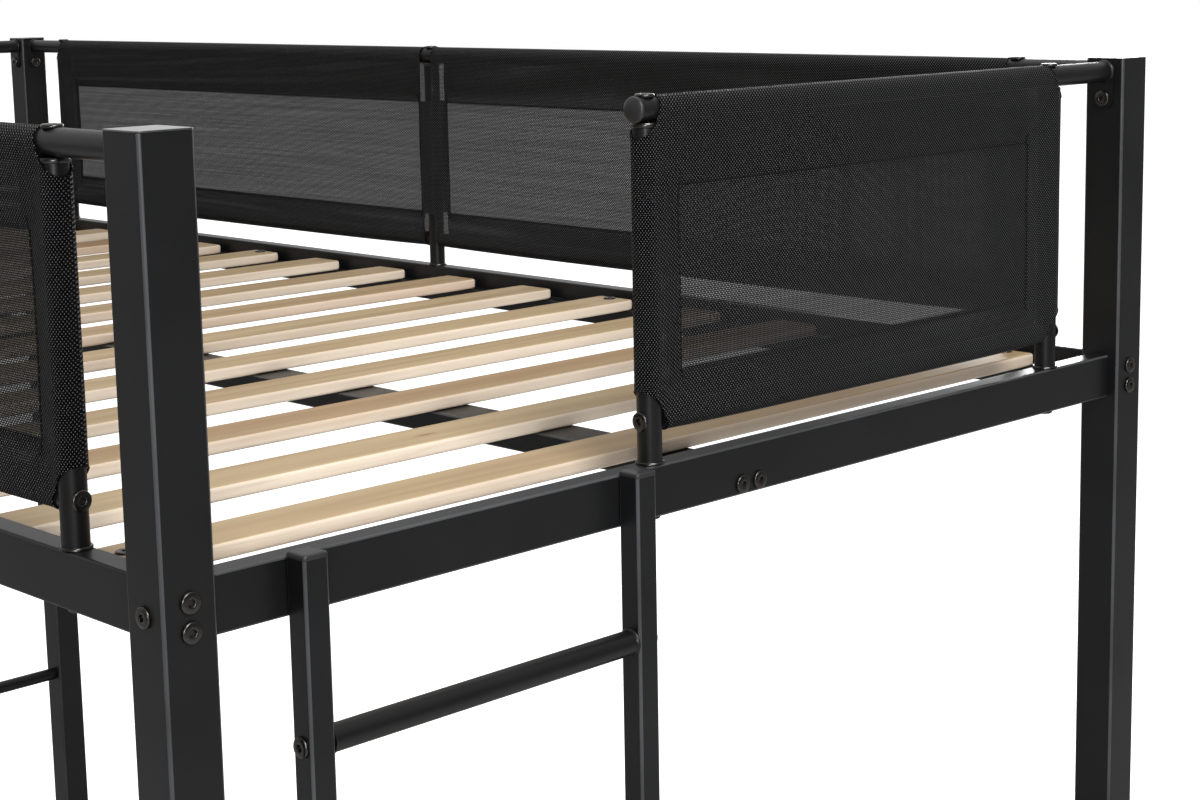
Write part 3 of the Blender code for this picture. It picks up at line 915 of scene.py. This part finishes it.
class Panel:
    """One guard panel: a stretched cloth with a sleeve along each side, in the guard's own plane.

    a runs along the guard, z upwards, and the panel's depth is measured out from the tubes' middle.
    """

    def __init__(self, name, settings, ends, across, along, outward, nodes, centre=None):
        self.name, self.settings, self.nodes = name, settings, nodes
        self.along, self.outward, self.across = along, outward, across
        self.middle = centre
        self.low, self.high = ends[0] - SIDE_REACH, ends[1] + SIDE_REACH
        self.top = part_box("left_guard_top_tube")[1].z + 0.0008
        self.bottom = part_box("front_guard_lower_tube")[0].z - 0.0005
        self.radius = upright_radius() + settings.slack
        self.lower_radius = size("front_guard_lower_tube").z / 2 + settings.slack
        self.side_seams = self.low + settings.side_hem, self.high - settings.side_hem
        self.level_seams = self.bottom + settings.bottom_hem, self.top - settings.top_hem

    def place(self, a, depth, z):
        return self.along * a + self.outward * (self.across + depth) + Z * z

    def on_cloth(self, a, z, layer):
        """A point on the outer layer, 1, or the inner one, -1."""
        return self.place(a, layer * self.depth(a, z) + self.ripple(a, z), self.shaped(a, z))

    def stops(self, low, high, low_radius, high_radius, low_hem, high_hem, extra=()):
        """Grid lines: close round each fold, even between."""
        found = set()
        for edge, way, radius, hem in ((low, 1, low_radius, low_hem), (high, -1, high_radius, high_hem)):
            for step in range(7):
                found.add(edge + way * radius * (1 - math.cos(step / 6 * math.pi / 2)))
            for step in range(1, 6):
                found.add(edge + way * (radius + (hem - radius) * step / 5))
        inner_low, inner_high = low + low_hem, high - high_hem
        count = max(2, round((inner_high - inner_low) / GRID_STEP))
        found.update(inner_low + (inner_high - inner_low) * i / count for i in range(count + 1))
        found.update(extra)
        kept = []
        for value in sorted(found):
            if not kept or value - kept[-1] > 0.00015:
                kept.append(value)
        kept[-1] = max(found)
        return kept

    @staticmethod
    def closing(inward, radius):
        """How far the two layers stand apart near a fold, from 0 at the fold to 1."""
        share = min(max(inward / radius, 0.0), 1.0)
        return math.sqrt(max(0.0, 1 - (1 - share) ** 2))

    @staticmethod
    def falling(inward, radius, hem):
        """Half the gap between the layers, from the tube's radius down to nothing at the seam."""
        if inward <= radius:
            return radius
        return radius * max(0.0, (hem - inward) / (hem - radius))

    def depth(self, a, z):
        s = self.settings
        left, right = a - self.low, self.high - a
        up, down = self.top - z, z - self.bottom
        fall = max(self.falling(left, self.radius, s.side_hem), self.falling(right, self.radius, s.side_hem),
                   self.falling(up, self.radius, s.top_hem),
                   self.falling(down, self.lower_radius, s.bottom_hem))
        if self.middle is not None:
            fall = max(fall, self.falling(abs(a - self.middle), self.radius, s.pocket))
        shut = min(self.closing(left, self.radius), self.closing(right, self.radius),
                   self.closing(up, self.radius), self.closing(down, self.lower_radius))
        return (fall + CLOTH_HALF) * shut

    def in_hem(self, a, z):
        s = self.settings
        tiny = 0.00001
        inside = (a - self.low < s.side_hem - tiny or self.high - a < s.side_hem - tiny
                  or self.top - z < s.top_hem - tiny or z - self.bottom < s.bottom_hem - tiny)
        return inside or (self.middle is not None and abs(a - self.middle) < s.pocket - tiny)

    def ripple(self, a, z):
        """Small unevenness of the stretched cloth, none at its folds."""
        nearest = min(a - self.low, self.high - a, self.top - z, z - self.bottom)
        share = min(nearest / RIPPLE_FADE, 1.0)
        wave = noise.noise(Vector((a * 9.0, z * 14.0, self.across * 5.0)))
        fine = noise.noise(Vector((a * 45.0, z * 30.0, self.across * 9.0)))
        return max(0.0, share) * (wave * BROAD_RIPPLE + fine * FINE_RIPPLE)

    def shaped(self, a, z):
        """The lower fold hangs a little between the uprights."""
        start, end = self.low, self.high
        if self.middle is not None:
            start, end = (start, self.middle) if a < self.middle else (self.middle, end)
        share = (a - start) / (end - start)
        low_share = max(0.0, 1 - (z - self.bottom) / 0.06)
        return z - SAG * (1 - (2 * share - 1) ** 4) * low_share ** 2

    def notches(self):
        """Convex shapes cut away at the corners and round a middle upright, as (a, z) points."""
        found = []
        for edge, way in ((self.low, 1), (self.high, -1)):
            for level, lift, (rise, reach) in ((self.top, -1, TOP_CUT), (self.bottom, 1, BOTTOM_CUT)):
                corner = (edge - way * 0.004, level - lift * 0.006)
                across = (edge + way * reach, level - lift * 0.006)
                curve = [(edge + way * reach, level)] + [
                    (edge + way * (reach * (1 - t) + 0.10 * reach * math.sin(math.pi * t)),
                     level + lift * (rise * t + 0.12 * rise * math.sin(math.pi * t)))
                    for t in (0.25, 0.5, 0.75)] + [(edge, level + lift * rise)]
                found.append([corner, across, *curve, (edge - way * 0.004, level + lift * rise)])
        if self.middle is not None:
            low_seam, top_seam = self.level_seams
            above = (0.0105, self.top + 0.006), (0.0125, top_seam + 0.012), (0.0110, top_seam + 0.001)
            below = (0.0125, self.bottom - 0.009), (0.0125, low_seam - 0.010), (0.0090, low_seam - 0.001)
            for half in (above, below):
                right = [(self.middle + a, z) for a, z in half]
                left = [(self.middle - a, z) for a, z in half]
                found.append([left[0], *right, *left[:0:-1]])
        return found

    def build(self):
        s = self.settings
        pocket = []
        if self.middle is not None:
            pocket = [self.middle + s.pocket * fifth / 5 for fifth in range(-5, 6)]
        columns = self.stops(self.low, self.high, self.radius, self.radius, s.side_hem, s.side_hem, pocket)
        rows = self.stops(self.bottom, self.top, self.lower_radius, self.radius, s.bottom_hem, s.top_hem)
        mesh = bmesh.new()
        for layer in (1, -1):
            grid = {}
            for i in range(len(columns) - 1):
                for j in range(len(rows) - 1):
                    mid_a, mid_z = (columns[i] + columns[i + 1]) / 2, (rows[j] + rows[j + 1]) / 2
                    if layer < 0 and not self.in_hem(mid_a, mid_z):
                        continue
                    corners = []
                    for k, l in ((i, j), (i + 1, j), (i + 1, j + 1), (i, j + 1)):
                        if (k, l) not in grid:
                            a, z = columns[k], rows[l]
                            depth = layer * self.depth(a, z) + self.ripple(a, z)
                            grid[k, l] = mesh.verts.new((a, z, depth))
                        corners.append(grid[k, l])
                    face = mesh.faces.new(corners if layer > 0 else list(reversed(corners)))
                    face.smooth = True
        for shape in self.notches():
            self.cut(mesh, shape)
        bmesh.ops.remove_doubles(mesh, verts=mesh.verts, dist=0.00002)
        for vert in mesh.verts:
            a, z, depth = vert.co
            vert.co = self.place(a, depth, self.shaped(a, z))
        edges = self.open_edges(mesh)
        mesh.normal_update()
        cloth = from_mesh(self.name, mesh, "panel_mesh")
        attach(cloth, "root")
        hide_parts(*self.nodes)
        return cloth, edges

    def cut(self, mesh, shape):
        """Removes what lies inside a convex shape from both layers."""
        shape = [Vector((*point, 0)) for point in shape]
        centre = sum(shape, Vector()) / len(shape)
        reach = max((point - centre).length for point in shape) + 0.02

        def flat_middle(face):
            point = face.calc_center_median()
            point.z = 0
            return point

        def near():
            return [f for f in mesh.faces if (flat_middle(f) - centre).length < reach]

        sides = []
        for start, end in zip(shape, shape[1:] + shape[:1]):
            way = end - start
            if way.length < 1e-6:
                continue
            normal = Vector((way.y, -way.x, 0)).normalized()
            if (centre - start).dot(normal) > 0:
                normal = -normal
            sides.append((start, normal))
            faces = near()
            edges = dict.fromkeys(e for f in faces for e in f.edges)
            verts = dict.fromkeys(v for f in faces for v in f.verts)
            bmesh.ops.bisect_plane(mesh, geom=[*faces, *edges, *verts], plane_co=start, plane_no=normal,
                                   dist=0.00001)
        gone = [f for f in near() if all((flat_middle(f) - start).dot(normal) < 0 for start, normal in sides)]
        bmesh.ops.delete(mesh, geom=gone, context="FACES")

    @staticmethod
    def open_edges(mesh):
        """Runs of points along the cloth's cut edges."""
        left = dict.fromkeys(e for e in mesh.edges if e.is_boundary)
        runs = []
        while left:
            edge = left.popitem()[0]
            run = list(edge.verts)
            for _ in range(2):
                run.reverse()
                following = True
                while following:
                    following = next((e for e in run[-1].link_edges if e in left), None)
                    if following:
                        del left[following]
                        run.append(following.other_vert(run[-1]))
            runs.append([v.co.copy() for v in run])
        return runs


def rolled_edges(runs, thickness):
    """A thin rolled edge along each run of points."""
    mesh = bmesh.new()
    sides = 6
    for run in runs:
        looped = (run[0] - run[-1]).length < 1e-6
        points = [p for i, p in enumerate(run) if i == 0 or (p - run[i - 1]).length > 0.0004]
        if len(points) < 2:
            continue
        rings = []
        for i, point in enumerate(points):
            before = points[i - 1] if i else (points[-2] if looped else point)
            after = points[i + 1] if i + 1 < len(points) else (points[1] if looped else point)
            rings.append(ring_at(circle(thickness / 2, sides), point, after - before))
        for i in range(1, len(rings)):
            turn = min(range(sides), key=lambda k: (rings[i][k] - rings[i - 1][0]).length)
            rings[i] = rings[i][turn:] + rings[i][:turn]
        loft(mesh, rings)
    return mesh


def add_stitches(mesh, start, end, pitch, lift):
    """A row of short raised threads from start to end."""
    count = int((end - start).length / pitch)
    step = (end - start) / max(count, 1)
    for i in range(count):
        low, high = (start + step * (i + share) + lift for share in (0.10, 0.90))
        add_bar(mesh, circle(THREAD, 5), low, high)


class BUNK_OT_fabric(bpy.types.Operator):
    """Stretch the mesh panels over the guard tubes"""

    bl_idname = "bunk.fabric"
    bl_label = "Guard panels"

    def execute(self, context):
        settings = context.scene.bunk_fabric
        for end, outward in zip(ENDS, (-Y, Y)):
            uprights = [middle(f"{end}_guard_upright_{side}") for side in SIDES]
            self.panel(Panel(f"{end}_guard_cloth", settings, [place.x for place in uprights],
                             uprights[0].dot(outward), X, outward, [f"{end}_guard_fabric"]),
                       [f"{end}_guard_{part}" for part in GUARD_PARTS])
        for side, outward in zip(SIDES, (-X, X)):
            near, centre, far = upright_places(side)
            self.panel(Panel(f"{side}_guard_cloth", settings, (near, far),
                             middle(f"{side}_guard_frame").dot(outward), Y, outward,
                             [f"{side}_guard_fabric_near", f"{side}_guard_fabric_far"], centre),
                       [f"{side}_guard_top_tube", f"{side}_guard_frame"])
        return {"FINISHED"}

    def panel(self, panel, tubes):
        """The cloth, its rolled edges and its stitches."""
        cloth, edges = panel.build()
        rolled = add_piece(panel.name + "_edges", rolled_edges(edges, EDGE_ROLL), "panel_mesh_solid",
                           slot="guard_mesh")
        sewn = self.stitches(panel)

    def stitches(self, panel):
        """A row of stitches round each window on both layers, with a tuck at each end of its side seams."""
        s = panel.settings
        mesh = bmesh.new()
        (low, high), (bottom, top) = panel.side_seams, panel.level_seams
        spans = [(low, high)]
        if panel.middle is not None:
            spans = [(low, panel.middle - s.pocket), (panel.middle + s.pocket, high)]
        for span in spans:
            for a, (z, reach), layer in product(span, ((bottom, -TACK), (top, TACK)), (1, -1)):
                add_bar(mesh, circle(THREAD * 1.8, 6), panel.on_cloth(a, z, layer),
                        panel.on_cloth(a, z + reach, layer))
            left, right = span[0] - SEAM_OUT, span[1] + SEAM_OUT
            under, over = bottom - SEAM_OUT, top + SEAM_OUT
            corners = [(left, under), (right, under), (right, over), (left, over)]
            for start, end in zip(corners, corners[1:] + corners[:1]):
                pieces = max(1, round(math.dist(start, end) / SEAM_PIECE))
                stops = [[p + (q - p) * (i / pieces) for p, q in zip(start, end)] for i in range(pieces + 1)]
                for layer in (1, -1):
                    places = [panel.on_cloth(*stop, layer) for stop in stops]
                    for first, second in zip(places, places[1:]):
                        add_stitches(mesh, first, second, s.stitch, panel.outward * layer * SEAM_LIFT)
        return add_piece(panel.name + "_stitches", mesh, "seam_thread", slot="guard_mesh")


class BUNK_OT_stage(bpy.types.Operator):
    """Set the floor, the soft lights and the camera"""

    bl_idname = "bunk.stage"
    bl_label = "Stage"

    def execute(self, context):
        s = context.scene.bunk_stage
        self.floor(s.floor)
        self.world(context.scene)
        self.light("key", (-0.9, -3.9, 4.4), (-0.1, -0.9, 1.2), 1.8, 215.0)
        self.light("edge", (-2.7, -3.7, 2.05), (-0.1, -0.7, 1.4), 0.7, 75.0)
        self.light("side", (4.6, 1.8, 2.2), (0.4, 0.0, 1.1), 1.6, 90.0)
        self.light("top", (0.8, 0.4, 5.4), (0, 0, 0), 4.5, 62.0)
        self.camera(context.scene, s)
        return {"FINISHED"}

    def floor(self, colour):
        plain_floor("studio_floor", colour)
        mesh = bmesh.new()
        add_turned(mesh, [(40.0, -0.05), (40.0, -0.0004)], Vector((0, 0, 0)), Z, 96)
        from_mesh("floor", mesh, "studio_floor")

    def world(self, scene):
        """A white backdrop that gives more light from behind the bed and above than from in front."""
        scene.world = bpy.data.worlds.new("studio")
        nodes = Nodes(scene.world, "BACKGROUND")
        way = nodes.add("ShaderNodeVectorMath", operation="DOT_PRODUCT")
        way.inputs[1].default_value = (0.35, 0.80, 0.45)
        nodes.link(nodes.add("ShaderNodeTexCoord").outputs["Generated"], way.inputs[0])
        either = nodes.add("ShaderNodeMix")
        nodes.link(nodes.add("ShaderNodeLightPath").outputs["Is Camera Ray"], either.inputs["Factor"])
        nodes.link(nodes.spread(way.outputs["Value"], -0.5, 0.80, 0.06, 0.80), either.inputs["A"])
        either.inputs["B"].default_value = 1.0
        nodes.link(either.outputs["Result"], nodes.shader.inputs["Strength"])
        nodes.set(Color=(1.0, 1.0, 1.0, 1.0))

    def light(self, name, place, target, wide, power):
        data = bpy.data.lights.new(name, "AREA")
        data.shape = "SQUARE"
        data.size = wide
        data.energy = power
        made = new_object(name, data)
        made.location = place
        made.rotation_euler = (Vector(target) - Vector(place)).to_track_quat("-Z", "Y").to_euler()

    def camera(self, scene, s):
        data = bpy.data.cameras.new("camera")
        data.lens = s.lens
        data.sensor_width = 36.0
        data.shift_y = -s.shift
        data.clip_start, data.clip_end = 0.05, 200.0
        made = new_object("camera", data)
        forward = Vector((-math.sin(s.heading) * math.cos(s.pitch),
                          math.cos(s.heading) * math.cos(s.pitch), -math.sin(s.pitch)))
        made.location = s.place
        made.rotation_mode = "QUATERNION"
        roll = Matrix.Rotation(s.roll, 4, "Z").to_quaternion()
        made.rotation_quaternion = forward.to_track_quat("-Z", "Y") @ roll
        scene.camera = made
        scene.view_settings.view_transform = "Standard"


OPERATORS = (BUNK_OT_materials, BUNK_OT_posts, BUNK_OT_rails, BUNK_OT_guards, BUNK_OT_bolts,
             BUNK_OT_ladder, BUNK_OT_caps, BUNK_OT_slats, BUNK_OT_fabric, BUNK_OT_stage)


class BUNK_PT_panel(bpy.types.Panel):
    """Steps that dress the bunk bed"""

    bl_idname = "BUNK_PT_panel"
    bl_label = "Bunk Bed"
    bl_space_type = "VIEW_3D"
    bl_region_type = "UI"
    bl_category = "Bunk Bed"

    def draw(self, context):
        for group, kind in GROUPS:
            box = self.layout.box()
            for name in kind.__annotations__:
                box.prop(getattr(context.scene, group), name)
        for operator in OPERATORS:
            self.layout.operator(operator.bl_idname)


def register():
    for _, kind in GROUPS:
        bpy.utils.register_class(kind)
    for operator in OPERATORS:
        bpy.utils.register_class(operator)
    bpy.utils.register_class(BUNK_PT_panel)
    for name, kind in GROUPS:
        setattr(bpy.types.Scene, name, bpy.props.PointerProperty(type=kind))


def unregister():
    for name, _ in GROUPS:
        delattr(bpy.types.Scene, name)
    bpy.utils.unregister_class(BUNK_PT_panel)
    for operator in reversed(OPERATORS):
        bpy.utils.unregister_class(operator)
    for _, kind in reversed(GROUPS):
        bpy.utils.unregister_class(kind)


def main():
    register()
    for operator in OPERATORS:
        group, name = operator.bl_idname.split(".")
        getattr(getattr(bpy.ops, group), name)()


if __name__ == "__main__":
    main()
